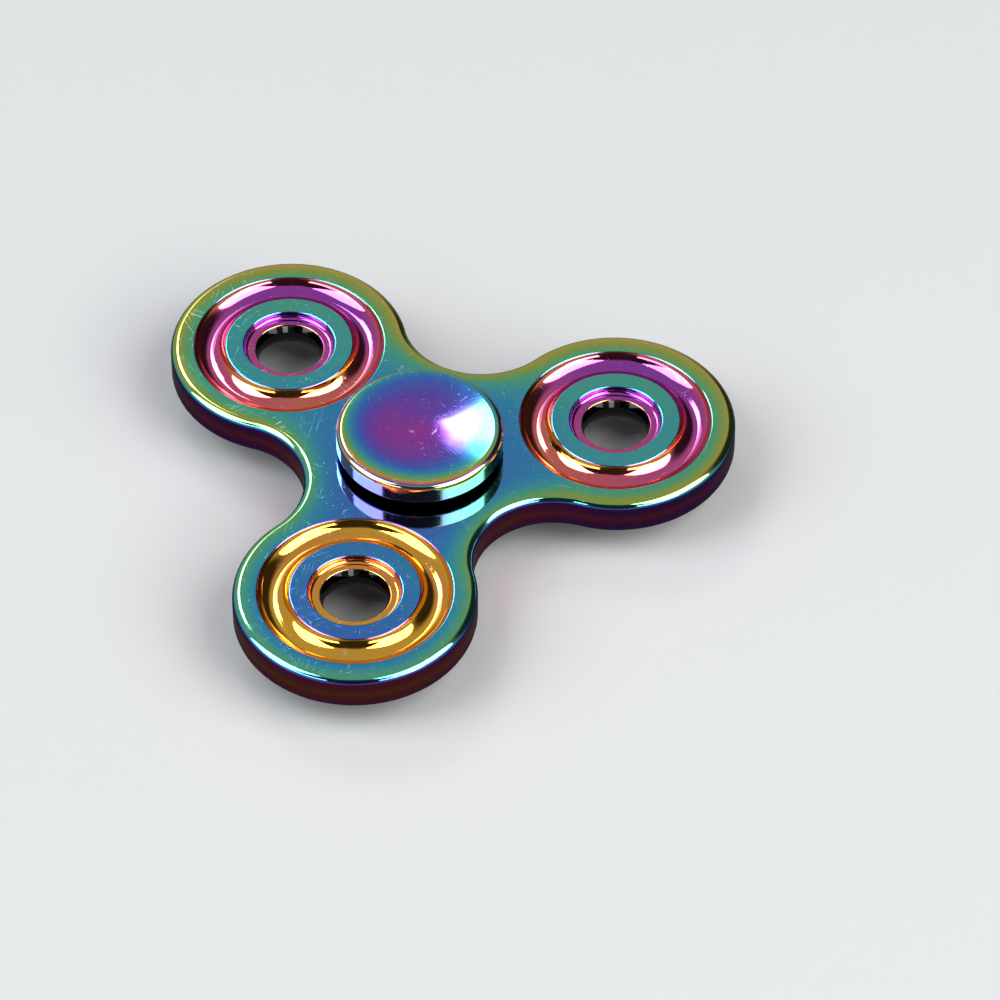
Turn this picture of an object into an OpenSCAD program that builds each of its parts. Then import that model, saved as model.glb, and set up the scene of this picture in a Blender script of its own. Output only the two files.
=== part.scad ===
// Three-lobed fidget spinner: a die-cast body that spins on an R188 ball bearing,
// held between two finger caps that screw together through the bearing.
// Millimetres. +Z is the spin axis, and the origin is the bearing's centre.

/* [Body] */
// Distance from the spin axis to each lobe's centre
lobe_pitch = 25.5; // [24.5:0.1:27]
// Outer radius of a lobe
lobe_r = 15.3; // [14.8:0.1:16]
// Distance from the spin axis to the bottom of each notch between lobes
waist_r = 15.2; // [14.5:0.1:16.5]
// Thickness of the body
body_t = 5.0; // [4.8:0.1:6]
// Radius that rounds the body's outer edges
edge_r = 1.0; // [0.6:0.1:1.4]

/* [Lobe ring] */
// Inner radius of the round groove in each lobe
groove_in_r = 8.1; // [7.8:0.1:8.4]
// Outer radius of the round groove in each lobe
groove_out_r = 12.4; // [12:0.1:12.8]
// Depth of the groove
groove_depth = 1.35; // [0.9:0.05:1.5]
// Radius that rounds the lips of the groove and of the hole
lip_r = 0.25; // [0.15:0.05:0.35]
// Radius of the counterbore in the lobe's hole
counterbore_r = 5.8; // [5.5:0.05:6]
// Depth of the counterbore
counterbore_depth = 0.95; // [0.7:0.05:1.2]
// Radius of the counterbore's coved corner
cove_r = 0.55; // [0.4:0.05:0.6]
// Radius of the hole where the counterbore ends
hole_mouth_r = 4.4; // [4.3:0.05:4.6]
// Radius of the hole's straight land at mid thickness
hole_land_r = 4.0; // [3.8:0.05:4.1]
// Length of that land
hole_land = 1.0; // [0.8:0.1:1.2]

/* [Finger caps] */
// Outer radius of a cap
cap_r = 10.6; // [9.5:0.1:11.5]
// Thickness of a cap's disc
cap_t = 2.7; // [2.4:0.1:3]
// Gap between a cap and the body
cap_gap = 1.3; // [1:0.1:1.6]
// Radius that rounds a cap's upper edge
cap_edge_r = 0.75; // [0.5:0.05:0.9]
// Width of the flat land round the dish
cap_land = 0.3; // [0.2:0.05:0.5]
// Slope of the conical dish that a fingertip rests in, in degrees
dish_angle = 6; // [3:0.5:6.5]
// Radius that rounds the middle of the dish
dish_middle_r = 45; // [20:1:60]

/* [Bearing R188] */
// Bore radius
bearing_bore_r = 3.175; // [3.175:0.001:3.18]
// Outer radius
bearing_out_r = 6.35; // [6.35:0.001:6.36]
// Width
bearing_w = 4.762; // [4.7:0.001:4.8]
// Number of balls
balls = 10; // [8:1:10]
// Radius of a ball
ball_r = 0.794; // [0.75:0.001:0.8]

/* [Hidden] */
$fn = 96;
over = 1;                    // how far a cutting shape runs past the face that it cuts
half_t = body_t / 2;
lobe_angles = [0, 120, 240];
notch_angles = [60, 180, 300];

// A notch is an arc that is tangent to the lobes on both sides of it.
notch_r = (pow(lobe_pitch, 2) + pow(waist_r, 2) - lobe_pitch * waist_r - pow(lobe_r, 2))
    / (2 * lobe_r - 2 * waist_r + lobe_pitch);
notch_pitch = waist_r + notch_r;
// Angle at a lobe's centre between the spin axis and the point where a notch begins.
notch_start_angle = atan2(notch_pitch * sin(60), lobe_pitch - notch_pitch * cos(60));
// The lobe's arc stops this far short of its tangent point with the notch, in degrees.
tangent_margin = 0.6;
// Arcs that blend into one another overlap by this much, so that they meet cleanly.
blend = 0.002;
mouth_chamfer = 0.1;
seat_chamfer = 0.3;

groove_mid_r = (groove_in_r + groove_out_r) / 2;
groove_half_w = (groove_out_r - groove_in_r) / 2;

half_w = bearing_w / 2;
ball_pitch_r = (bearing_bore_r + bearing_out_r) / 2;
race_r = 1.04 * ball_r;      // the raceway's cross section is a little larger than the ball
inner_land_r = 4.3;
outer_land_r = 5.25;
race_chamfer = 0.15;
shield_t = 0.2;
shield_z = 1.85;             // inner face of a shield
shield_in_r = 4.36;
shield_out_r = 5.75;
snap_t = 0.22;
snap_out_r = 5.9;
snap_w = 0.28;
snap_gap_angle = 24;
snap_clearance = 0.02;       // round the shield's rim and the snap ring
joggle = 0.08;               // how far the shield's middle stands proud of its rim
joggle_in_r = 5.15;
joggle_out_r = 5.3;

cage_in_r = 4.42;
cage_out_r = 5.1;
cage_t = 0.18;
pocket_r = 0.84;             // inner radius of a cage pocket
rivet_r = 0.13;
rivet_head_r = 0.23;
rivet_head_h = 0.1;
rivet_head_taper = 0.06;

cap_under_z = half_t + cap_gap;
cap_top_z = cap_under_z + cap_t;
cap_chamfer = 0.2;
dish_r = cap_r - cap_edge_r - cap_land;
dish_tip_z = cap_top_z - dish_r * tan(dish_angle);
dish_blend_r = dish_middle_r * sin(dish_angle);
dish_blend_z = dish_tip_z + dish_blend_r * tan(dish_angle);
boss_r = 4.15;
boss_fillet = 0.5;
spigot_r = bearing_bore_r - 0.005;
spigot_gap = 0.1;            // half of the gap between the two spigots at mid thickness
stud_r = 2.0;                // M4 thread, drawn at its major diameter
stud_end_z = -4.3;
socket_r = 2.03;
socket_end_z = -4.6;
stud_chamfer = 0.3;

body_colour = [0.17, 0.5, 0.55];
cap_colour = [0.42, 0.16, 0.55];
steel_colour = [0.75, 0.76, 0.78];
cage_colour = [0.72, 0.66, 0.5];

function two_digits(n) = str(n < 10 ? "0" : "", n);
function ball_name(n) = str("ball_", two_digits(n));

// ---- Shapes that repeat ----

module at_polar(r, angles) {
    for (a = angles)
        rotate(a) translate([r, 0, 0]) children();
}

// Draws its children as they are and mirrored to the other side of z = 0, or of y = 0 in 2D.
module both_sides_2d() {
    children();
    mirror([0, 1]) children();
}

// Half section of the space round a lobe, out to a far radius. It flares in at both faces, so
// that it rounds the body's edges.
module lobe_void_2d(far_r) {
    difference() {
        translate([lobe_r - edge_r, -half_t - over])
            square([far_r - lobe_r + edge_r, body_t + 2 * over]);
        translate([lobe_r - edge_r - over, edge_r - half_t])
            square([edge_r + over, body_t - 2 * edge_r]);
        both_sides_2d() translate([lobe_r - edge_r, half_t - edge_r]) circle(edge_r);
    }
}

// Half section of the space inside a notch, which flares out in the same way.
module notch_void_2d() {
    difference() {
        translate([0, -half_t - over]) square([notch_r + edge_r, body_t + 2 * over]);
        translate([notch_r, edge_r - half_t]) square([edge_r + over, body_t - 2 * edge_r]);
        both_sides_2d() translate([notch_r + edge_r, half_t - edge_r]) circle(edge_r);
    }
}

// Section of the round groove, with y = 0 as the body's face: a wide arc between two rounded lips.
module groove_2d() {
    arc_r = (pow(groove_half_w, 2) + pow(groove_depth, 2)) / (2 * groove_depth) - lip_r;
    rise = arc_r - groove_depth;
    touch_y = rise - (rise + lip_r) * arc_r / (arc_r + lip_r);
    translate([0, rise]) circle(arc_r + blend);
    difference() {
        translate([-groove_half_w, touch_y]) square([2 * groove_half_w, over - touch_y]);
        for (side = [-1, 1])
            translate([side * groove_half_w, -lip_r]) circle(lip_r);
    }
}

// Upper half section of a lobe's hole: straight land, draft, coved counterbore, rounded lip.
module lobe_hole_2d() {
    floor_z = half_t - counterbore_depth;
    cove_x = counterbore_r - cove_r;
    mouth_top_r = hole_mouth_r + mouth_chamfer;
    polygon([[0, 0], [hole_land_r, 0], [hole_land_r, hole_land / 2],
        [hole_mouth_r, floor_z - mouth_chamfer], [mouth_top_r, floor_z],
        [mouth_top_r, floor_z + cove_r], [0, floor_z + cove_r]]);
    translate([0, floor_z]) square([cove_x, counterbore_depth + over]);
    translate([cove_x, floor_z + cove_r]) circle(cove_r);
    translate([0, floor_z + cove_r]) square([counterbore_r, counterbore_depth - cove_r + over]);
    difference() {
        translate([0, half_t - lip_r]) square([counterbore_r + lip_r, lip_r + over]);
        translate([counterbore_r + lip_r, half_t - lip_r]) circle(lip_r);
    }
}

// ---- Body ----

// A round blank, cut back to the lobes and then to the notches between them.
module outline_blank() {
    far_r = 2 * lobe_pitch + lobe_r + 3 * over;
    difference() {
        difference() {
            cylinder(r = lobe_pitch + lobe_r + over, h = body_t, center = true);
            at_polar(lobe_pitch, lobe_angles)
                rotate(notch_start_angle - 180 + tangent_margin)
                    rotate_extrude(angle = 360 - 2 * (notch_start_angle + tangent_margin))
                        lobe_void_2d(far_r);
        }
        at_polar(notch_pitch, notch_angles)
            rotate_extrude() notch_void_2d();
    }
}

// The groove and the hole's counterbore, on both faces of a lobe.
module lobe_cuts() {
    for (side = [0, 1])
        mirror([0, 0, side]) {
            rotate_extrude()
                translate([groove_mid_r, half_t]) groove_2d();
            rotate_extrude() lobe_hole_2d();
        }
}

module bearing_seat() {
    cylinder(r = bearing_out_r, h = body_t + 2 * over, center = true);
    for (side = [0, 1])
        mirror([0, 0, side]) translate([0, 0, half_t - seat_chamfer])
            cylinder(r1 = bearing_out_r, r2 = bearing_out_r + seat_chamfer + over,
                h = seat_chamfer + over);
}

module tri_lobe_body() {
    color(body_colour)
        difference() {
            outline_blank();
            at_polar(lobe_pitch, lobe_angles) lobe_cuts();
            bearing_seat();
        }
}

// ---- Bearing ----

// Half section of a race ring between two radii, with small chamfers at its four corners.
module race_2d(r1, r2) {
    c = race_chamfer;
    polygon([[r1 + c, -half_w], [r2 - c, -half_w], [r2, c - half_w], [r2, half_w - c],
        [r2 - c, half_w], [r1 + c, half_w], [r1, half_w - c], [r1, c - half_w]]);
}

module outer_race() {
    color(steel_colour)
        rotate_extrude()
            difference() {
                race_2d(outer_land_r, bearing_out_r);
                translate([ball_pitch_r, 0]) circle(race_r);
                both_sides_2d() {
                    // Step that the shield sits on, and the groove for its snap ring.
                    translate([0, shield_z]) square([shield_out_r + snap_clearance, half_w]);
                    translate([0, shield_z + shield_t])
                        square([snap_out_r + snap_clearance, snap_t + snap_clearance]);
                }
            }
}

module inner_race() {
    color(steel_colour)
        rotate_extrude()
            difference() {
                race_2d(bearing_bore_r, inner_land_r);
                translate([ball_pitch_r, 0]) circle(race_r);
            }
}

module ball(n) {
    color(steel_colour)
        at_polar(ball_pitch_r, [360 * (n - 1) / balls]) sphere(ball_r);
}

module cage_band() {
    difference() {
        cylinder(r = cage_out_r, h = 2 * (pocket_r + cage_t), center = true);
        cylinder(r = cage_in_r, h = 2 * (pocket_r + cage_t) + over, center = true);
    }
}

// Upper half of the pressed ribbon cage: a flat ring with a half-round pocket over each ball.
module cage_half() {
    ball_angles = [for (n = [0:balls - 1]) 360 * n / balls];
    color(cage_colour)
        difference() {
            intersection() {
                cage_band();
                union() {
                    cylinder(r = cage_out_r + over, h = cage_t);
                    at_polar(ball_pitch_r, ball_angles) sphere(pocket_r + cage_t);
                }
                cylinder(r = cage_out_r + over, h = pocket_r + cage_t + over);
            }
            at_polar(ball_pitch_r, ball_angles) sphere(pocket_r);
            at_polar(ball_pitch_r, ball_angles + [for (a = ball_angles) 180 / balls])
                cylinder(r = rivet_r, h = 4 * cage_t, center = true);
        }
}

module cage_rivets() {
    color(steel_colour)
        at_polar(ball_pitch_r, [for (n = [0:balls - 1]) 360 * (n + 0.5) / balls]) {
            cylinder(r = rivet_r, h = 2 * cage_t, center = true);
            for (side = [0, 1])
                mirror([0, 0, side]) translate([0, 0, cage_t])
                    cylinder(r1 = rivet_head_r, r2 = rivet_head_r - rivet_head_taper, h = rivet_head_h);
        }
}

// The upper shield: a thin washer whose rim is pressed down to sit under the snap ring.
module shield() {
    rim_z = shield_z + shield_t;
    color(steel_colour)
        rotate_extrude()
            polygon([[shield_in_r, shield_z], [shield_out_r, shield_z], [shield_out_r, rim_z],
                [joggle_out_r, rim_z], [joggle_in_r, rim_z + joggle], [shield_in_r, rim_z + joggle]]);
}

module snap_ring() {
    color(steel_colour)
        rotate(snap_gap_angle / 2)
            rotate_extrude(angle = 360 - snap_gap_angle)
                translate([snap_out_r - snap_w, shield_z + shield_t]) square([snap_w, snap_t]);
}

// ---- Finger caps ----

// Half section of the space above the dish: a cone with a rounded middle.
module dish_2d() {
    intersection() {
        translate([0, dish_tip_z + dish_middle_r / cos(dish_angle)]) circle(dish_middle_r + blend);
        translate([0, dish_tip_z]) square([dish_r, cap_t]);
    }
    polygon([[0, dish_blend_z], [dish_blend_r, dish_blend_z], [dish_r, cap_top_z],
        [dish_r, cap_top_z + over], [0, cap_top_z + over]]);
}

// Half section of the upper cap's disc and boss, solid to the axis.
module cap_2d() {
    difference() {
        union() {
            translate([0, cap_under_z]) square([cap_r, cap_t - cap_edge_r]);
            translate([0, cap_under_z]) square([cap_r - cap_edge_r, cap_t]);
            translate([cap_r - cap_edge_r, cap_top_z - cap_edge_r]) circle(cap_edge_r);
            translate([0, half_w]) square([boss_r, cap_under_z - half_w + over]);
            difference() {
                translate([0, cap_under_z - boss_fillet]) square([boss_r + boss_fillet, boss_fillet]);
                translate([boss_r + boss_fillet, cap_under_z - boss_fillet]) circle(boss_fillet);
            }
        }
        dish_2d();
        // Small chamfer at the lower edge.
        polygon([[cap_r - cap_chamfer, cap_under_z], [cap_r, cap_under_z + cap_chamfer],
            [cap_r + over, cap_under_z]]);
    }
}

module finger_cap_top() {
    color(cap_colour)
        rotate_extrude() {
            cap_2d();
            translate([0, spigot_gap]) square([spigot_r, half_w - spigot_gap + over]);
            polygon([[0, stud_end_z], [stud_r - stud_chamfer, stud_end_z],
                [stud_r, stud_end_z + stud_chamfer], [stud_r, spigot_gap + over], [0, spigot_gap + over]]);
        }
}

module finger_cap_bottom() {
    color(cap_colour)
        rotate_extrude()
            difference() {
                union() {
                    mirror([0, 1]) cap_2d();
                    translate([0, -half_w - over]) square([spigot_r, half_w - spigot_gap + over]);
                }
                translate([-over, socket_end_z]) square([socket_r + over, over - socket_end_z]);
            }
}

tri_lobe_body();
outer_race();
inner_race();
for (n = [1:balls])
    ball(n);
cage_half();  // cage_top_half
mirror([0, 0, 1]) cage_half();  // cage_bottom_half
cage_rivets();
shield();  // shield_top
mirror([0, 0, 1]) shield();  // shield_bottom
snap_ring();  // snap_ring_top
mirror([0, 0, 1]) snap_ring();  // snap_ring_bottom
finger_cap_top();
finger_cap_bottom();
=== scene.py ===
import math

import bpy
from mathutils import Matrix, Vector
from mathutils.geometry import delaunay_2d_cdt
from mathutils.kdtree import KDTree


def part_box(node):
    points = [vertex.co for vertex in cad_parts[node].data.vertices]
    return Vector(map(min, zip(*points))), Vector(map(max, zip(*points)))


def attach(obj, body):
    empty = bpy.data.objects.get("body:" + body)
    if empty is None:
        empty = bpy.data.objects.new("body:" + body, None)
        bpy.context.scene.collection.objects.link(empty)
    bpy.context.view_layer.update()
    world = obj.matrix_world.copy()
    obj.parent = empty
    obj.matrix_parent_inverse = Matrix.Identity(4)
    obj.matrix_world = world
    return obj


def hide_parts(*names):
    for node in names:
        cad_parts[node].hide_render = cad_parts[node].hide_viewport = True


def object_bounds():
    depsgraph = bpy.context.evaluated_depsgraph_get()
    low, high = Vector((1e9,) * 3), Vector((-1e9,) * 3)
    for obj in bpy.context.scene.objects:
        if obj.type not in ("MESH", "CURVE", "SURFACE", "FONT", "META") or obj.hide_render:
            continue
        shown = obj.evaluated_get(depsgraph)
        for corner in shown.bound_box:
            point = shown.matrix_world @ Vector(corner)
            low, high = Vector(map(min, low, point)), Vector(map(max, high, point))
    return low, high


# A three-lobed fidget spinner of mirror-polished metal with an iridescent coating. The bearing's
# pieces are the CAD nodes themselves. The body and the two finger caps are finer meshes to the
# CAD's dimensions, with exact normals, because a mirror shows every facet.

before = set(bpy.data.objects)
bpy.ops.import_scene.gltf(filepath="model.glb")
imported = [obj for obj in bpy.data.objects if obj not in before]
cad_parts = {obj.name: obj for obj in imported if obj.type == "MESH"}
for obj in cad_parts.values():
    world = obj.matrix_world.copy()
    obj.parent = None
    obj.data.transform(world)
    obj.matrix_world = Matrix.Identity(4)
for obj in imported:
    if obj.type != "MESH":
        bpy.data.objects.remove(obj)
cad_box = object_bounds()

MM = 0.001

# ---- Sizes in millimetres. Those that the CAD boxes give are read from them. ----
body_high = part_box("tri_lobe_body")[1] / MM
HALF_T = body_high.z
LOBE_R = 15.3
LOBE_PITCH = body_high.x - LOBE_R
WAIST_R = 15.2
EDGE_R = 1.0
LIP_R = 0.25
GROOVE_IN_R = 8.1
GROOVE_OUT_R = 12.4
GROOVE_DEPTH = 1.35
COUNTERBORE_R = 5.8
COUNTERBORE_DEPTH = 0.95
COVE_R = 0.55
MOUTH_R = 4.45            # a lobe's hole at the counterbore's floor
MOUTH_FILLET = 0.12
LAND_R = 4.0              # the hole's narrow land at mid thickness
LAND_HALF_LENGTH = 0.5
LAND_FILLET = 0.3
SEAT_R = 6.35
SEAT_CHAMFER = 0.3

cap_low, cap_high = (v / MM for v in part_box("finger_cap_top"))
CAP_R = cap_high.x
CAP_TOP_Z = cap_high.z
CAP_UNDER_Z = 3.8
CAP_UNDER_FILLET = 0.12
CAP_EDGE_R = 0.75
CAP_LAND = 0.3
DISH_ANGLE = math.radians(6)
DISH_MIDDLE_R = 45.0
DISH_RIM_FILLET = 1.0
BOSS_R = 4.15
BOSS_FILLET = 0.5
BOSS_END_Z = 2.381
SPIGOT_R = 3.17
SPIGOT_END_Z = 0.1
END_FILLET = 0.05         # at the ends of the boss and the spigot
STUD_R = 2.0
STUD_END_Z = cap_low.z
STUD_TIP_FILLET = 0.25
SOCKET_R = 2.03
SOCKET_END_Z = 4.6

LOBE_ANGLES = [0, 120, 240]
NOTCH_R = (LOBE_PITCH ** 2 + WAIST_R ** 2 - LOBE_PITCH * WAIST_R - LOBE_R ** 2) / (
    2 * LOBE_R - 2 * WAIST_R + LOBE_PITCH)
NOTCH_PITCH = WAIST_R + NOTCH_R
NOTCH_START = math.atan2(NOTCH_PITCH * math.sin(math.pi / 3),
                         LOBE_PITCH - NOTCH_PITCH * math.cos(math.pi / 3))

# ---- Mesh resolution ----
TURN_STEPS = 144          # round a lobe or a cap
LOBE_STEPS = 120          # round a lobe in the outline
NOTCH_STEPS = 64          # round a notch in the outline
EDGE_STEPS = 12           # over the body's rounded edge
WALL_STEPS = 3            # down the side wall to mid thickness
FILLET_STEP = 0.14        # radians
HOLE_SPACING = 0.4        # between points along a hole's straight stretches, mm
CAP_SPACING = 0.3         # the same for a cap
FLAT_GRID = 0.8           # spacing of the points on the body's flat faces, mm
FLAT_CLEAR = 0.6          # how clear of the edges they stay, in spacings
TRIANGULATE_EPSILON = 1e-7
WELD = 1e-4               # points this close together are one vertex, mm
TINY = 1e-6               # lengths and angles below this count as 0


def polar(radius, angle):
    return Vector((radius * math.cos(angle), radius * math.sin(angle)))


CENTRE = Vector((0, 0))
LOBES = [polar(LOBE_PITCH, math.radians(a)) for a in LOBE_ANGLES]
NOTCHES = [polar(NOTCH_PITCH, math.radians(a + 60)) for a in LOBE_ANGLES]


# ---- Paths: lists of (radius, height, normal's radius, normal's height), air on the left ----
def arc_points(start, heading, turn, radius):
    """Points along an arc that starts at a point with a heading and turns left by an angle."""
    side = math.copysign(1, turn)
    centre = start + side * radius * Vector((-math.sin(heading), math.cos(heading)))
    steps = max(2, math.ceil(abs(turn) / FILLET_STEP))
    points = []
    for i in range(steps + 1):
        a = heading + turn * i / steps
        left = Vector((-math.sin(a), math.cos(a)))
        p = centre - side * radius * left
        points.append((p.x, p.y, left.x, left.y))
    return points


def filleted_path(corners):
    """A path through corners of (radius, height, fillet), with a rounded turn at each fillet."""
    spots = [Vector(c[:2]) for c in corners]
    headings = [math.atan2(b.y - a.y, b.x - a.x) for a, b in zip(spots, spots[1:])]
    points = []
    for i, spot in enumerate(spots):
        before = headings[max(i - 1, 0)]
        after = headings[min(i, len(headings) - 1)]
        turn = (after - before + math.pi) % (2 * math.pi) - math.pi
        fillet = corners[i][2]
        if fillet and abs(turn) > TINY:
            back_off = fillet * math.tan(abs(turn) / 2)
            start = spot - back_off * Vector((math.cos(before), math.sin(before)))
            points += arc_points(start, before, turn, fillet)
            continue
        # A sharp corner has a point for each of its two headings, and a straight one has one.
        for heading in {round(before, 9): before, round(after, 9): after}.values():
            points.append((spot.x, spot.y, -math.sin(heading), math.cos(heading)))
    return points


def evenly(points, spacing):
    """Adds points along the path's long straight stretches."""
    filled = [points[0]]
    for a, b in zip(points, points[1:]):
        n = math.ceil(math.hypot(b[0] - a[0], b[1] - a[1]) / spacing)
        for i in range(1, n):
            filled.append(tuple(p + (q - p) * i / n for p, q in zip(a, b)))
        filled.append(b)
    return filled


def groove_path():
    """The round groove in a lobe's face, from its inner lip to its outer lip."""
    half_w = (GROOVE_OUT_R - GROOVE_IN_R) / 2
    arc_r = (half_w ** 2 + GROOVE_DEPTH ** 2) / (2 * GROOVE_DEPTH) - LIP_R
    slope = math.atan2(half_w, arc_r - GROOVE_DEPTH + LIP_R)
    inner_lip = arc_points(Vector((GROOVE_IN_R, HALF_T)), 0, -slope, LIP_R)
    bowl = arc_points(Vector(inner_lip[-1][:2]), -slope, 2 * slope, arc_r)
    outer_lip = arc_points(Vector(bowl[-1][:2]), slope, -slope, LIP_R)
    return inner_lip + bowl[1:] + outer_lip[1:]


def hole_path():
    """A lobe's hole, from mid thickness up to the flat ring's outer edge."""
    floor_z = HALF_T - COUNTERBORE_DEPTH
    return filleted_path([
        (LAND_R, 0, 0),
        (LAND_R, LAND_HALF_LENGTH, LAND_FILLET),
        (MOUTH_R, floor_z, MOUTH_FILLET),
        (COUNTERBORE_R, floor_z, COVE_R),
        (COUNTERBORE_R, HALF_T, LIP_R),
        (GROOVE_IN_R, HALF_T, 0)])


def cap_path(stem):
    """A finger cap from the middle of its dish, over its rim and down to the end of its stem."""
    dish_r = CAP_R - CAP_EDGE_R - CAP_LAND
    middle = DISH_MIDDLE_R * math.sin(DISH_ANGLE)
    middle_z = CAP_TOP_Z - (dish_r - middle) * math.tan(DISH_ANGLE)
    tip = Vector((0, middle_z - DISH_MIDDLE_R * (1 - math.cos(DISH_ANGLE))))
    dish_middle = arc_points(tip, 0, DISH_ANGLE, DISH_MIDDLE_R)
    rim_and_stem = filleted_path([
        (middle, middle_z, 0),
        (dish_r, CAP_TOP_Z, DISH_RIM_FILLET),
        (CAP_R, CAP_TOP_Z, CAP_EDGE_R),
        (CAP_R, CAP_UNDER_Z, CAP_UNDER_FILLET),
        (BOSS_R, CAP_UNDER_Z, BOSS_FILLET),
        (BOSS_R, BOSS_END_Z, END_FILLET),
        (SPIGOT_R, BOSS_END_Z, 0),
        (SPIGOT_R, SPIGOT_END_Z, END_FILLET)] + stem)
    return dish_middle + rim_and_stem[1:]


# ---- Film thickness: the interference colour's place on a ramp of colours ----
# The coating's interference colours, as reflectances, by film thickness on a scale of its own.
# Below 0 it fades out to uncoated metal deep in the lobes' holes, darkened there to near black as
# painted shade for the holes' shaded insides.
FILM_COLOURS = [
    (-0.30, (0.12, 0.12, 0.13)), (-0.15, (0.40, 0.33, 0.24)), (0.00, (0.98, 0.52, 0.06)),
    (0.12, (0.95, 0.30, 0.10)), (0.22, (0.86, 0.17, 0.21)), (0.30, (0.68, 0.11, 0.38)),
    (0.38, (0.42, 0.08, 0.54)), (0.46, (0.20, 0.12, 0.68)), (0.54, (0.085, 0.22, 0.78)),
    (0.62, (0.07, 0.38, 0.70)), (0.70, (0.10, 0.54, 0.52)), (0.79, (0.18, 0.60, 0.28)),
    (0.88, (0.45, 0.56, 0.11)), (0.98, (0.72, 0.56, 0.14)), (1.10, (0.78, 0.34, 0.20)),
    (1.24, (0.70, 0.14, 0.34)), (1.40, (0.42, 0.09, 0.58)), (1.55, (0.19, 0.24, 0.66)),
    (1.70, (0.20, 0.52, 0.54)), (1.86, (0.24, 0.58, 0.30)), (2.00, (0.62, 0.58, 0.18)),
    (2.10, (0.76, 0.38, 0.22)), (2.22, (0.70, 0.19, 0.32)), (2.40, (0.50, 0.12, 0.50))]
FILM_START = FILM_COLOURS[0][0]
FILM_END = FILM_COLOURS[-1][0]

# The body's flat face
FLAT_FILM = 0.70
FLAT_PER_MM = 0.0031      # thicker for each mm towards the thick end
RIM_THICKER = 0.22        # at the edge
RIM_FADE = 1.5            # mm over which that falls off
HUB_THINNER = 0.085       # beside the hub
HUB_REACH = (10, 22)      # mm from the spin axis over which that ends

# A lobe's groove, counterbore and hole
LOBE_PER_MM = 0.0072      # thicker for each mm towards the thick end
BOWL_FILM = 0.31
BOWL_STEEP_THINNER = 0.2  # on the bowl's steepest parts
STEEPEST = 0.45           # how far from 1 the normal's height is there
BOWL_HUB_THINNER = 0.1    # on the groove's side towards the hub
BOWL_HUB_REACH = (12, 26)
BOWL_LIP = 0.6            # the share of the lip's radius over which the flat's film turns into it
COVE_FILM = 0.36
COVE_FLOOR_THINNER = 0.05
HOLE_FILM = 0.32
HOLE_FADE = 0.05          # mm each side of the mouth's radius over which it turns to uncoated metal painted near black as shade

# The body's outer side
EDGE_THINNER = 0.5        # where the rounded edge meets the wall
WALL_THINNER = 0.15       # thinner again at mid thickness
WALL_FADE = 1.0           # mm over which that comes in

# A cap's dish, by distance from the spin axis in mm, and its outer wall
DISH_FILM = [
    (0, 0.37), (3, 0.38), (5, 0.41), (6.6, 0.49), (7.6, 0.58), (8.3, 0.68), (8.9, 0.81),
    (9.4, 0.96), (9.75, 1.1), (10.05, 1.26)]
DISH_RINGS_SHIFT = 1.9    # mm that the rings move out on the thin side
DISH_THICK_SIDE = math.radians(240)
DISH_BLUER = 0.08         # thicker inside the rings, on the side away from the violet one
DISH_VIOLET_SIDE = math.radians(195)
DISH_BLUER_START = (0, 4)
DISH_BLUER_END = (7, 10)
WALL_FILM = 2.06
WALL_VARIES = 0.13        # thicker and thinner by this much round it
WALL_THICK_SIDE = math.radians(190)
WALL_BLEND = (0.1, 0.95)  # the outward part of the normal over which dish turns into wall
CAP_FOOT = 0.2            # mm above the cap's underside up to which it has the wall's film
INWARD = -0.5             # a normal that points in by more than this is the socket's wall


def smooth(x, start, end):
    """A smooth step from 0 at start to 1 at end, whichever of the two is larger."""
    t = min(max((x - start) / (end - start), 0), 1)
    return t * t * (3 - 2 * t)


def in_steps(x, table):
    """Straight lines through a table of (x, value)."""
    for (x0, v0), (x1, v1) in zip(table, table[1:]):
        if x <= x1:
            return v0 + (v1 - v0) * max(x - x0, 0) / (x1 - x0)
    return table[-1][1]


def edge_distance(p):
    """Distance in from the body's outline."""
    lobe = min(LOBES, key=lambda c: (p - c).length)
    out = p - lobe
    if out.length > TINY and (-lobe).angle(out) > NOTCH_START:
        return LOBE_R - out.length
    return min((p - n).length for n in NOTCHES) - NOTCH_R


def thick_end(p):
    """How far p is towards the film's thick end, away from the third lobe, in mm."""
    return -p.dot(LOBES[2].normalized()) - LOBE_PITCH / 2


def flat_film(p):
    """On the flat face. The body's other surfaces start from it."""
    near_rim = math.exp(-max(edge_distance(p) - EDGE_R, 0) / RIM_FADE)
    near_hub = 1 - smooth(p.length, *HUB_REACH)
    base = FLAT_FILM + FLAT_PER_MM * thick_end(p)
    return base + RIM_THICKER * near_rim - HUB_THINNER * near_hub


def lobe_film(p, r, z, upright):
    """On the surfaces that are turned round a lobe's centre."""
    flat = flat_film(p)
    shift = LOBE_PER_MM * thick_end(p)
    if r > GROOVE_IN_R:
        steep = min((1 - upright) / STEEPEST, 1)
        near_hub = 1 - smooth(p.length, *BOWL_HUB_REACH)
        thinner = BOWL_HUB_THINNER * near_hub + BOWL_STEEP_THINNER * steep ** 2
        bowl = max(BOWL_FILM + shift - thinner, 0)
        return flat + (bowl - flat) * smooth(HALF_T - z, 0, LIP_R * BOWL_LIP)
    if r > COUNTERBORE_R - COVE_R:
        cove = max(COVE_FILM - COVE_FLOOR_THINNER * upright + shift, 0)
        return flat + (cove - flat) * smooth(HALF_T - z, 0, LIP_R)
    mouth = max(HOLE_FILM + shift, 0)
    # Below the mouth the film turns to uncoated metal, painted near black: painted shade for the
    # hole's shaded inside.
    bare_and_painted_shade = smooth(r, MOUTH_R + HOLE_FADE, MOUTH_R - HOLE_FADE)
    return mouth + (FILM_START - mouth) * bare_and_painted_shade


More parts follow.
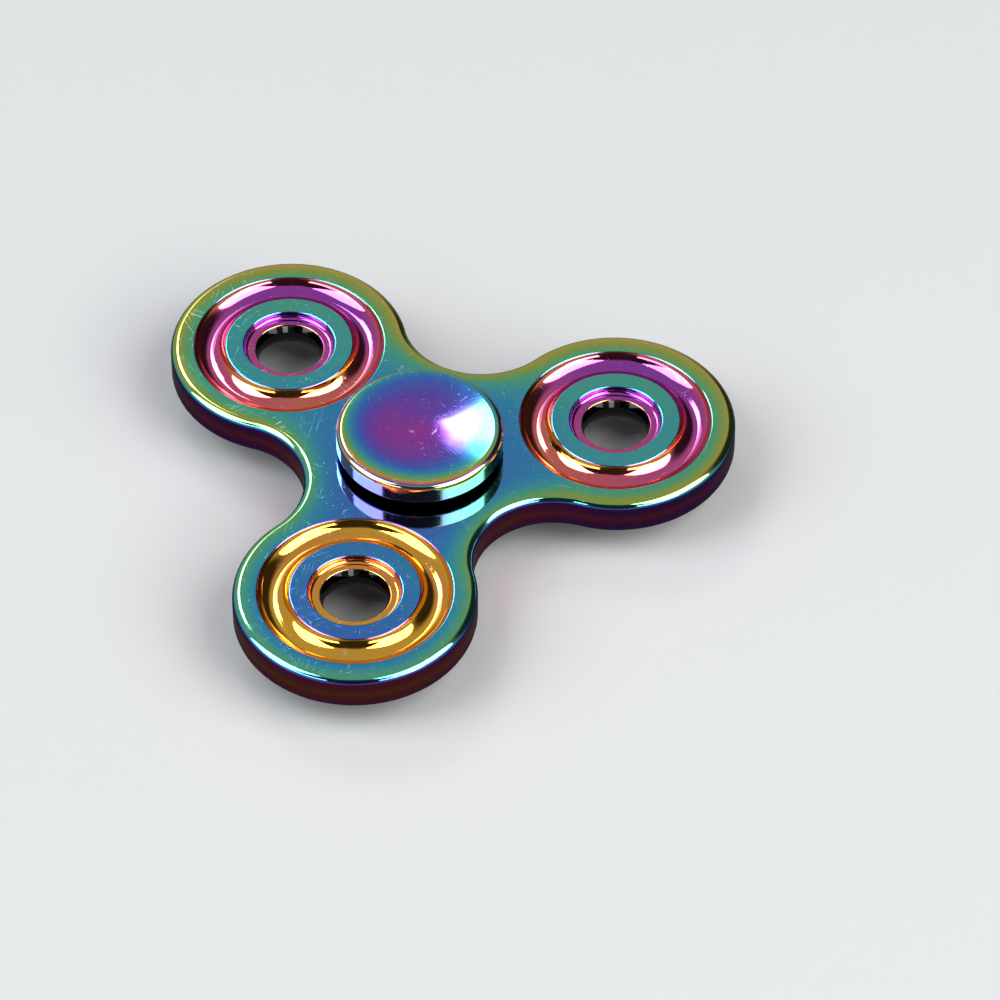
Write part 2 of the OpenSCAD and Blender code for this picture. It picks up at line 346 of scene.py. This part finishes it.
def side_film(p, z, upright):
    """On the rounded outer edge and the side wall."""
    film = flat_film(p) - EDGE_THINNER * smooth(1 - upright, 0, 1)
    return film - WALL_THINNER * smooth(z, WALL_FADE, 0)


def away_from(bearing, side):
    """0 at a side's bearing, and 1 opposite it."""
    return (1 - math.cos(bearing - side)) / 2


def cap_film(p, r, z, upright, outward):
    """Violet in the dish's middle, then a full turn of the colours towards the rim."""
    bearing = math.atan2(p.y, p.x)
    wall = WALL_FILM + WALL_VARIES * math.cos(bearing - WALL_THICK_SIDE)
    if z < CAP_UNDER_Z + CAP_FOOT or outward < INWARD:
        return wall
    rings_out = DISH_RINGS_SHIFT * away_from(bearing, DISH_THICK_SIDE)
    film = in_steps(r - rings_out, DISH_FILM)
    inside_rings = smooth(r, *DISH_BLUER_START) * (1 - smooth(r, *DISH_BLUER_END))
    film += DISH_BLUER * inside_rings * away_from(bearing, DISH_VIOLET_SIDE)
    return film + (wall - film) * smooth(outward, *WALL_BLEND)


# ---- Meshes ----
class Surface:
    """Points with an exact normal and a film thickness each, and the faces between them."""

    def __init__(self):
        self.points, self.normals, self.films, self.faces = [], [], [], []

    def add(self, point, normal, film):
        self.points.append(Vector(point))
        self.normals.append(Vector(normal).normalized())
        self.films.append(film)
        return len(self.points) - 1

    def grid(self, rows):
        """Quads between rows of vertex numbers. A row of one number is a pole."""
        for a, b in zip(rows, rows[1:]):
            for i in range(max(len(a), len(b))):
                j = i + 1
                self.faces.append([b[i % len(b)], b[j % len(b)], a[j % len(a)], a[i % len(a)]])

    def turn(self, path, centre, film_at):
        """Turns a path round an upright axis. film_at gives the film at each of its points."""
        rows = []
        for r, z, outward, upright in path:
            row = []
            for i in range(TURN_STEPS if r > TINY else 1):
                u = polar(1, 2 * math.pi * i / TURN_STEPS)
                p = centre + r * u
                normal = (outward * u.x, outward * u.y, upright)
                row.append(self.add((p.x, p.y, z), normal, film_at(p, r, z, upright, outward)))
            rows.append(row)
        self.grid(rows)

    def mirrored(self):
        """Adds the same surface, turned inside out, on the other side of z = 0."""
        count = len(self.points)
        for i in range(count):
            p, n = self.points[i], self.normals[i]
            self.add((p.x, p.y, -p.z), (n.x, n.y, -n.z), self.films[i])
        self.faces += [[v + count for v in reversed(f)] for f in self.faces]

    def first_at_each_place(self):
        """For each vertex, the first vertex at the same place."""
        tree = KDTree(len(self.points))
        for i, p in enumerate(self.points):
            tree.insert(p, i)
        tree.balance()
        return [min(i for _, i, _ in tree.find_range(p, WELD)) for p in self.points]

    def solid_faces(self, first):
        """Drops each corner at the same place as the one before it, and the faces left flat."""
        faces = []
        for face in self.faces:
            corners = [v for k, v in enumerate(face) if first[v] != first[face[k - 1]]]
            if len(corners) > 2:
                faces.append(corners)
        return faces

    def piece(self, name, material, upside_down=False):
        """An object with one vertex at each place, and a normal for each corner of each face."""
        side = -1 if upside_down else 1
        first = self.first_at_each_place()
        kept = sorted(set(first))
        number = {v: n for n, v in enumerate(kept)}
        places = [self.points[v] * MM for v in kept]
        faces = [face[::side] for face in self.solid_faces(first)]
        normals = [self.normals[v] for face in faces for v in face]
        mesh = bpy.data.meshes.new(name)
        mesh.from_pydata([(p.x, p.y, p.z * side) for p in places], [],
                         [[number[first[v]] for v in face] for face in faces])
        mesh.polygons.foreach_set("use_smooth", [True] * len(faces))
        mesh.normals_split_custom_set([(n.x, n.y, n.z * side) for n in normals])
        film = mesh.attributes.new("film", "FLOAT", "POINT")
        film.data.foreach_set("value", [self.films[v] for v in kept])
        mesh.materials.append(material)
        o = bpy.data.objects.new(name, mesh)
        bpy.context.collection.objects.link(o)
        return o


def outline(inset):
    """Points of the body's outline moved in by inset, with their outward normals."""
    found = []
    lobe_half = math.pi - NOTCH_START
    for k, lobe in enumerate(LOBES):
        heading = math.radians(LOBE_ANGLES[k])
        for i in range(LOBE_STEPS):
            u = polar(1, heading - lobe_half + 2 * lobe_half * i / LOBE_STEPS)
            found.append((lobe + (LOBE_R - inset) * u, u))
        notch = NOTCHES[k]
        start, end = lobe - notch, LOBES[(k + 1) % 3] - notch
        clockwise = start.angle(end)
        for i in range(NOTCH_STEPS):
            u = polar(1, math.atan2(start.y, start.x) - clockwise * i / NOTCH_STEPS)
            found.append((notch + (NOTCH_R + inset) * u, -u))
    return found


def on_flat(p, clear=0.0):
    """Is p on the body's flat face, at least so far clear of its edges?"""
    if p.length < SEAT_R + SEAT_CHAMFER + clear:
        return False
    if min((p - c).length for c in LOBES) < GROOVE_OUT_R + clear:
        return False
    return edge_distance(p) > EDGE_R + clear


def flat_points():
    """Points of a triangular grid on the body's flat face, clear of its edges."""
    reach = int((LOBE_PITCH + LOBE_R) / FLAT_GRID) + 1
    row_step = math.sqrt(3) / 2
    points = []
    for i in range(-reach, reach + 1):
        for j in range(-reach, reach + 1):
            p = Vector(((i + 0.5 * (j % 2)) * FLAT_GRID, j * FLAT_GRID * row_step))
            if on_flat(p, FLAT_GRID * FLAT_CLEAR):
                points.append(p)
    return points


def circle(centre, radius):
    return [centre + polar(radius, 2 * math.pi * i / TURN_STEPS) for i in range(TURN_STEPS)]


def add_body_edge(surface):
    """The rounded edge and the side wall, from the flat face down to mid thickness."""
    wall_top = HALF_T - EDGE_R
    levels = []
    for i in range(EDGE_STEPS + 1):
        t = math.pi / 2 * (1 - i / EDGE_STEPS)
        levels.append((EDGE_R * (1 - math.cos(t)), wall_top + EDGE_R * math.sin(t), t))
    levels += [(0, wall_top * k / WALL_STEPS, 0) for k in reversed(range(WALL_STEPS))]
    rows = []
    for inset, z, t in levels:
        row = []
        for p, u in outline(inset):
            normal = (u.x * math.cos(t), u.y * math.cos(t), math.sin(t))
            row.append(surface.add((p.x, p.y, z), normal, side_film(p, z, math.sin(t))))
        rows.append(row)
    surface.grid(rows)


def add_body_flat(surface):
    """The flat face, with round holes in it for the grooves and the bearing."""
    rings = [[p for p, u in outline(EDGE_R)], circle(CENTRE, SEAT_R + SEAT_CHAMFER)]
    rings += [circle(c, GROOVE_OUT_R) for c in LOBES]
    points, edges = [], []
    for ring in rings:
        first = len(points)
        points += ring
        edges += [(first + i, first + (i + 1) % len(ring)) for i in range(len(ring))]
    points += flat_points()
    places, _, faces = delaunay_2d_cdt(points, edges, [], 0, TRIANGULATE_EPSILON)[:3]
    numbers = [surface.add((p.x, p.y, HALF_T), (0, 0, 1), flat_film(p)) for p in places]
    for face in faces:
        middle = sum((places[v] for v in face), Vector((0, 0))) / len(face)
        if on_flat(middle):
            surface.faces.append([numbers[v] for v in face])


def body_surface():
    """The whole body: the upper half, and the same again below."""
    surface = Surface()
    add_body_edge(surface)
    add_body_flat(surface)
    lobe = evenly(hole_path(), HOLE_SPACING) + groove_path()[1:]
    for centre in LOBES:
        surface.turn(lobe, centre, lambda p, r, z, upright, outward: lobe_film(p, r, z, upright))
    seat = filleted_path([
        (SEAT_R, 0, 0),
        (SEAT_R, HALF_T - SEAT_CHAMFER, 0),
        (SEAT_R + SEAT_CHAMFER, HALF_T, 0)])
    surface.turn(seat, CENTRE, lambda p, r, z, upright, outward: flat_film(p))
    surface.mirrored()
    return surface


def cap_surface(stem):
    """The upper finger cap, with a stem of its own. The lower one is the same upside down."""
    surface = Surface()
    surface.turn(evenly(cap_path(stem), CAP_SPACING), CENTRE, cap_film)
    return surface


# ---- Node helpers ----
NOISE_SHIFT = 9           # moves the pattern off the origin
NOISE_SHIFT_PER_TURN = 40


def add_node(tree, kind, settings=None, **inputs):
    """A shader node with its settings. An input is named, or numbered as _0, _1 and so on."""
    n = tree.nodes.new("ShaderNode" + kind)
    for key, value in (settings or {}).items():
        setattr(n, key, value)
    for key, value in inputs.items():
        socket = n.inputs[int(key[1:])] if key[0] == "_" else n.inputs[key.replace("_", " ")]
        if isinstance(value, bpy.types.NodeSocket):
            tree.links.new(value, socket)
        else:
            socket.default_value = value
    return n


def maths(tree, operation, a, b=0.0, c=0.0):
    return add_node(tree, "Math", {"operation": operation}, _0=a, _1=b, _2=c).outputs[0]


def remap(tree, value, start, end):
    """A smooth step from 0 at start to 1 at end."""
    settings = {"interpolation_type": "SMOOTHSTEP"}
    return add_node(tree, "MapRange", settings, Value=value, From_Min=start,
                    From_Max=end).outputs["Result"]


def noise(tree, position, per_mm, detail=2.0, squeeze=(1, 1, 1), turn=0.0):
    """Noise with so many features per millimetre, if wanted stretched and turned about Z."""
    turned = add_node(tree, "Mapping", Vector=position, Rotation=(0, 0, turn))
    elsewhere = (NOISE_SHIFT_PER_TURN * turn, NOISE_SHIFT, 0)
    scaled = add_node(tree, "Mapping", Vector=turned.outputs[0], Location=elsewhere,
                      Scale=[per_mm / MM * k for k in squeeze])
    return add_node(tree, "TexNoise", Vector=scaled.outputs[0], Scale=1.0,
                    Detail=detail).outputs[0]


def mix_colour(tree, factor, a, b):
    """From colour a at 0 to b at 1. They are the Mix node's sockets 6 and 7, and its output 2."""
    return add_node(tree, "Mix", {"data_type": "RGBA"}, _0=factor, _6=a, _7=b).outputs[2]


def hairlines(tree, position, turns, width):
    """1 on thin, long scratches that run in each of some directions, and 0 between them."""
    total = 0.0
    for turn in turns:
        # A line is where drawn-out noise crosses its middle value, inside some patches only.
        drawn_out = noise(tree, position, 1.3, detail=0.0, squeeze=(1, 0.025, 0.2), turn=turn)
        off_line = maths(tree, "ABSOLUTE", maths(tree, "SUBTRACT", drawn_out, 0.5))
        line = remap(tree, off_line, start=width, end=0.3 * width)
        blots = noise(tree, position, per_mm=0.55, detail=0.0, turn=turn)
        patches = remap(tree, blots, start=0.6, end=0.68)
        total = maths(tree, "MAXIMUM", maths(tree, "MULTIPLY", line, patches), total)
    return total


def new_metal(name, colour, roughness):
    m = bpy.data.materials.new(name)
    m.use_nodes = True
    tree = m.node_tree
    shader = tree.nodes["Principled BSDF"]
    shader.inputs["Base Color"].default_value = (*colour, 1)
    shader.inputs["Metallic"].default_value = 1
    shader.inputs["Roughness"].default_value = roughness
    position = add_node(tree, "TexCoord").outputs["Object"]
    return m, tree, shader, position


def set_bump(tree, shader, height, depth_mm):
    bump = add_node(tree, "Bump", Strength=1.0, Distance=depth_mm * MM, Height=height)
    tree.links.new(bump.outputs[0], shader.inputs["Normal"])


# ---- Materials ----
BARE_METAL = (0.75, 0.78, 0.8)
COATING_BASE = (0.1, 0.4, 0.5)
SCRATCH_WIDTH = 0.005     # in the noise's own values
MARKS_SHOW = 0.3          # how much bare metal shows in scratches and specks
MARKS_ROUGHER = 0.12
RIPPLE = 0.3              # the polish's waviness, against a scratch's depth of 1
SCRATCH_DEPTH = 0.0004    # mm

# How much the steels' patterns add to their roughness
RINGS_ROUGHER = 0.16
STAINS_ROUGHER = 0.08
SCUFFS_ROUGHER = 0.1
GRAIN_ROUGHER = 0.2


def film_colour(tree, position, wander):
    """The coating's colour, wandering a little from the film thickness in the mesh."""
    base = add_node(tree, "Attribute", {"attribute_name": "film"}).outputs["Fac"]
    drift = maths(tree, "SUBTRACT", noise(tree, position, per_mm=0.12, detail=3.0), 0.5)
    film = maths(tree, "MULTIPLY_ADD", drift, wander, base)
    span = FILM_END - FILM_START
    place = maths(tree, "MULTIPLY_ADD", film, 1 / span, -FILM_START / span)
    ramp = add_node(tree, "ValToRGB", _0=place)
    stops = ramp.color_ramp.elements
    stops.remove(stops[1])
    stops[0].color = (*FILM_COLOURS[0][1], 1)
    for thickness, colour in FILM_COLOURS[1:]:
        stops.new((thickness - FILM_START) / span).color = (*colour, 1)
    return ramp.outputs[0]


def coated_metal(name, roughness, haze, wander, scratch_turns):
    """Mirror-polished metal with the coating, fine hairline scratches, dust and smears."""
    m, tree, shader, position = new_metal(name, COATING_BASE, roughness)
    scratches = hairlines(tree, position, scratch_turns, SCRATCH_WIDTH)
    specks = remap(tree, noise(tree, position, per_mm=2.6, detail=1.0), start=0.735, end=0.76)
    marks = maths(tree, "MAXIMUM", scratches, specks)
    film = film_colour(tree, position, wander)
    colour = mix_colour(tree, maths(tree, "MULTIPLY", marks, MARKS_SHOW), film, (*BARE_METAL, 1))
    tree.links.new(colour, shader.inputs["Base Color"])
    smears = remap(tree, noise(tree, position, per_mm=0.22, detail=4.0), start=0.5, end=0.72)
    rough = maths(tree, "MULTIPLY_ADD", smears, haze, roughness)
    rough = maths(tree, "MULTIPLY_ADD", marks, MARKS_ROUGHER, rough)
    tree.links.new(rough, shader.inputs["Roughness"])
    ripple = maths(tree, "MULTIPLY", noise(tree, position, per_mm=0.5), RIPPLE)
    set_bump(tree, shader, maths(tree, "SUBTRACT", ripple, scratches), SCRATCH_DEPTH)
    return m


def turned_steel(name, colour, roughness, lines_per_mm, depth_mm):
    """Ground steel with fine rings of turning marks round the spin axis, and faint stains."""
    m, tree, shader, position = new_metal(name, colour, roughness)
    flat = add_node(tree, "VectorMath", {"operation": "MULTIPLY"}, _0=position, _1=(1, 1, 0))
    radius = add_node(tree, "VectorMath", {"operation": "LENGTH"}, _0=flat.outputs[0])
    height = add_node(tree, "SeparateXYZ", Vector=position).outputs["Z"]
    ring_place = add_node(tree, "CombineXYZ", X=radius.outputs["Value"], Y=height)
    rings = noise(tree, ring_place.outputs[0], lines_per_mm, detail=3.0)
    stains = noise(tree, position, per_mm=0.6, detail=4.0)
    dull = [c * 0.72 for c in colour]
    stained = remap(tree, stains, start=0.45, end=0.75)
    shade = mix_colour(tree, stained, (*colour, 1), (*dull, 1))
    tree.links.new(shade, shader.inputs["Base Color"])
    smoothest = roughness - 0.04
    rough = maths(tree, "MULTIPLY_ADD", rings, RINGS_ROUGHER, smoothest)
    rough = maths(tree, "MULTIPLY_ADD", stains, STAINS_ROUGHER, rough)
    tree.links.new(rough, shader.inputs["Roughness"])
    set_bump(tree, shader, rings, depth_mm)
    return m


def polished_steel(name, colour, roughness):
    """Polished steel with faint scuffs, for the balls."""
    m, tree, shader, position = new_metal(name, colour, roughness)
    scuffs = noise(tree, position, per_mm=3.0, detail=4.0)
    grey = [c * 0.8 for c in colour]
    scuffed = remap(tree, scuffs, start=0.5, end=0.7)
    shade = mix_colour(tree, scuffed, (*colour, 1), (*grey, 1))
    tree.links.new(shade, shader.inputs["Base Color"])
    rough = maths(tree, "MULTIPLY_ADD", scuffs, SCUFFS_ROUGHER, roughness)
    tree.links.new(rough, shader.inputs["Roughness"])
    return m


def pressed_steel(name, colour, roughness):
    """Satin pressed sheet with a fine grain and patches of a light oil."""
    m, tree, shader, position = new_metal(name, colour, roughness)
    grain = noise(tree, position, per_mm=14.0, detail=3.0)
    oil = noise(tree, position, per_mm=1.2, detail=3.0)
    amber = (colour[0] * 0.8, colour[1] * 0.72, colour[2] * 0.6)
    oiled = remap(tree, oil, start=0.4, end=0.75)
    shade = mix_colour(tree, oiled, (*colour, 1), (*amber, 1))
    tree.links.new(shade, shader.inputs["Base Color"])
    smoothest = roughness - 0.05
    rough = maths(tree, "MULTIPLY_ADD", grain, GRAIN_ROUGHER, smoothest)
    tree.links.new(rough, shader.inputs["Roughness"])
    set_bump(tree, shader, grain, depth_mm=0.004)
    return m


def dress(names, material):
    """Gives CAD nodes a material."""
    for name in names:
        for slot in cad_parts[name].material_slots:
            slot.material = material


# ---- The pieces ----
BALLS = 10

body_metal = coated_metal("body_coating", roughness=0.05, haze=0.03, wander=0.07,
                          scratch_turns=[0.4, 1.3, 2.2, 2.9])
cap_metal = coated_metal("cap_coating", roughness=0.085, haze=0.05, wander=0.05,
                         scratch_turns=[0.2, 0.9, 1.5, 2.0, 2.7])

body = body_surface().piece("body_shell", body_metal)
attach(body, "frame")
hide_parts("tri_lobe_body")

stud = [(STUD_R, SPIGOT_END_Z, 0), (STUD_R, STUD_END_Z, STUD_TIP_FILLET), (0, STUD_END_Z, 0)]
socket = [(SOCKET_R, SPIGOT_END_Z, 0), (SOCKET_R, SOCKET_END_Z, 0), (0, SOCKET_END_Z, 0)]
top_cap = cap_surface(stud).piece("cap_top_shell", cap_metal)
bottom_cap = cap_surface(socket).piece("cap_bottom_shell", cap_metal, upside_down=True)
caps = {"finger_cap_top": top_cap, "finger_cap_bottom": bottom_cap}
for node, cap in caps.items():
    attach(cap, "hub")
    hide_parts(node)

dress(["outer_race", "inner_race"],
      turned_steel("race_steel", (0.75, 0.76, 0.78), roughness=0.16, lines_per_mm=9,
                   depth_mm=0.002))
dress([f"ball_{n:02d}" for n in range(1, BALLS + 1)],
      polished_steel("ball_steel", (0.82, 0.83, 0.85), roughness=0.05))
dress(["cage_top_half", "cage_bottom_half", "cage_rivets"],
      pressed_steel("cage_steel", (0.72, 0.66, 0.5), roughness=0.3))
dress(["shield_top", "shield_bottom"],
      turned_steel("shield_steel", (0.7, 0.71, 0.73), roughness=0.3, lines_per_mm=5,
                   depth_mm=0.003))
dress(["snap_ring_top", "snap_ring_bottom"],
      turned_steel("snap_ring_steel", (0.62, 0.63, 0.66), roughness=0.22, lines_per_mm=12,
                   depth_mm=0.002))


# ---- The studio, in metres ----
CAMERA_AZIMUTH = math.radians(-12.03)
CAMERA_ELEVATION = math.radians(46.61)
CAMERA_DISTANCE = 0.7707
CAMERA_AIM = Vector((0.0081, -0.0108, 0.0025))
CAMERA_LENS = 220.1
FLOOR_GAP = 0.00002       # keeps the floor just below the object
FLOOR_Z = cad_box[0].z - FLOOR_GAP
FLOOR_R = 1.3             # the floor is flat this far out, and then curves up into a backdrop
BACKDROP_R = 0.8
BACKDROP_TOP = 1.7
CURVE_STEPS = 16
FLOOR_TURN_STEPS = 96
FLOOR_COLOUR = (0.34, 0.34, 0.345, 1)
BACKDROP_COLOUR = (0.85, 0.85, 0.86, 1)
PAINT_BLEND_TOP = 0.5     # the floor's paint has turned into the backdrop's at this height

# Softboxes: the direction in the camera's frame (right, away, up), width and height in degrees,
# radiance and colour
SOFTBOX_DISTANCE = 1.1
SOFTBOXES = {
    "softbox_back": ((-0.28, 0.635, 0.735), 20, 9, 10, (1, 1, 1)),
    "softbox_back_mid": ((-0.265, 0.71, 0.66), 18.5, 3.5, 4, (0.88, 0.97, 1)),
    "softbox_back_low": ((-0.27, 0.78, 0.58), 17.5, 8, 1.2, (0.85, 0.97, 1)),
    "softbox_left": ((-0.694, -0.135, 0.707), 35, 46, 7, (0.92, 0.97, 1)),
    "softbox_right": ((0.641, -0.3, 0.707), 46, 46, 7, (0.99, 1, 0.97)),
    "softbox_left_low": ((-0.6, -0.66, 0.45), 34, 9, 5, (0.92, 0.97, 1)),
    "softbox_right_low": ((0.56, -0.7, 0.44), 34, 11, 6, (0.99, 1, 0.97))}

# The sky's strength above the horizon, in its dark patches and well below the horizon. A
# direction's height goes from -1, straight down, to 1: the sky blends between two such heights.
SKY = 0.45
SKY_IN_PATCHES = 0.03
SKY_BELOW = 0.05
SKY_BLEND = (-0.4, 0.12)

# The dark patches: the direction in the camera's frame, and the angles from it in degrees at
# which the patch ends and at which it is darkest
DARK_PATCHES = [
    ((0, -0.84, 0.54), 36, 20),
    ((-0.38, -0.57, 0.73), 17, 11),
    ((0.32, -0.61, 0.73), 14, 8),
    ((0.72, 0.6, 0.35), 42, 24)]


def from_camera_frame(x, y, z):
    """A direction given as right, away and up from the camera, turned into the CAD's frame."""
    c, s = math.cos(CAMERA_AZIMUTH), math.sin(CAMERA_AZIMUTH)
    return Vector((x * c - y * s, x * s + y * c, z)).normalized()


def add_camera():
    data = bpy.data.cameras.new("camera")
    data.lens = CAMERA_LENS
    data.clip_start = 0.01
    camera = bpy.data.objects.new("camera", data)
    a, e = CAMERA_AZIMUTH, CAMERA_ELEVATION
    back = Vector((math.sin(a) * math.cos(e), -math.cos(a) * math.cos(e), math.sin(e)))
    camera.location = CAMERA_AIM + CAMERA_DISTANCE * back
    camera.rotation_euler = (-back).to_track_quat("-Z", "Y").to_euler()
    bpy.context.collection.objects.link(camera)
    bpy.context.scene.camera = camera


def floor_profile():
    """The floor and backdrop as (radius, height), from the middle out and up."""
    levels = [(0.0, FLOOR_Z), (FLOOR_R / 2, FLOOR_Z), (FLOOR_R, FLOOR_Z)]
    for i in range(1, CURVE_STEPS + 1):
        a = math.pi / 2 * i / CURVE_STEPS
        out, up = BACKDROP_R * math.sin(a), BACKDROP_R * (1 - math.cos(a))
        levels.append((FLOOR_R + out, FLOOR_Z + up))
    levels.append((FLOOR_R + BACKDROP_R, BACKDROP_TOP))
    return levels


def floor_mesh(levels, steps):
    """The profile turned round the Z axis."""
    points, faces = [], []
    for radius, z in levels:
        for i in range(steps):
            u = polar(radius, 2 * math.pi * i / steps)
            points.append((u.x, u.y, z))
    for k in range(len(levels) - 1):
        for i in range(steps):
            a, b = k * steps + i, k * steps + (i + 1) % steps
            faces.append((a + steps, b + steps, b, a))
    mesh = bpy.data.meshes.new("floor")
    mesh.from_pydata(points, [], faces)
    mesh.polygons.foreach_set("use_smooth", [True] * len(faces))
    return mesh


def floor_paint():
    """Matt grey on the floor, paler up the backdrop."""
    m = bpy.data.materials.new("floor_paint")
    m.use_nodes = True
    tree = m.node_tree
    shader = tree.nodes["Principled BSDF"]
    position = add_node(tree, "TexCoord").outputs["Object"]
    height = add_node(tree, "SeparateXYZ", Vector=position).outputs["Z"]
    up_backdrop = remap(tree, height, start=0, end=PAINT_BLEND_TOP)
    paint = mix_colour(tree, up_backdrop, FLOOR_COLOUR, BACKDROP_COLOUR)
    tree.links.new(paint, shader.inputs["Base Color"])
    shader.inputs["Roughness"].default_value = 0.9
    return m


def add_floor():
    """A floor that curves up into a round backdrop. The metal doesn't mirror it."""
    mesh = floor_mesh(floor_profile(), FLOOR_TURN_STEPS)
    mesh.materials.append(floor_paint())
    floor = bpy.data.objects.new("floor", mesh)
    bpy.context.collection.objects.link(floor)
    floor.visible_glossy = False


def add_softbox(name, direction, width, height, radiance, colour):
    """An area light from a direction in the camera's frame, as large as its angles in degrees."""
    data = bpy.data.lights.new(name, "AREA")
    data.shape = "RECTANGLE"
    data.size = 2 * SOFTBOX_DISTANCE * math.tan(math.radians(width / 2))
    data.size_y = 2 * SOFTBOX_DISTANCE * math.tan(math.radians(height / 2))
    data.energy = radiance * math.pi * data.size * data.size_y
    data.color = colour
    light = bpy.data.objects.new(name, data)
    toward = from_camera_frame(*direction)
    light.location = toward * SOFTBOX_DISTANCE
    light.rotation_euler = toward.to_track_quat("Z", "Y").to_euler()
    bpy.context.collection.objects.link(light)


def facing(tree, direction, towards, outer, inner):
    """1 within the inner angle of a direction in the camera's frame, and 0 beyond the outer."""
    dot = add_node(tree, "VectorMath", {"operation": "DOT_PRODUCT"}, _0=direction,
                   _1=from_camera_frame(*towards)).outputs["Value"]
    return remap(tree, dot, math.cos(math.radians(outer)), math.cos(math.radians(inner)))


def add_sky():
    """Even light from above the horizon, darker in some patches and fading out below."""
    world = bpy.data.worlds.new("sky")
    bpy.context.scene.world = world
    world.use_nodes = True
    tree = world.node_tree
    direction = add_node(tree, "TexCoord").outputs["Generated"]
    up = add_node(tree, "SeparateXYZ", Vector=direction).outputs["Z"]
    shade = 0.0
    for patch in DARK_PATCHES:
        shade = maths(tree, "MAXIMUM", facing(tree, direction, *patch), shade)
    shade = maths(tree, "MULTIPLY", shade, SKY - SKY_IN_PATCHES)
    above = maths(tree, "SUBTRACT", SKY - SKY_BELOW, shade)
    strength = maths(tree, "MULTIPLY_ADD", remap(tree, up, *SKY_BLEND), above, SKY_BELOW)
    tree.links.new(strength, tree.nodes["Background"].inputs["Strength"])
    tree.nodes["Background"].inputs["Color"].default_value = (1, 1, 1, 1)


add_camera()
add_floor()
for name, softbox in SOFTBOXES.items():
    add_softbox(name, *softbox)
add_sky()
bpy.context.scene.view_settings.view_transform = "Standard"
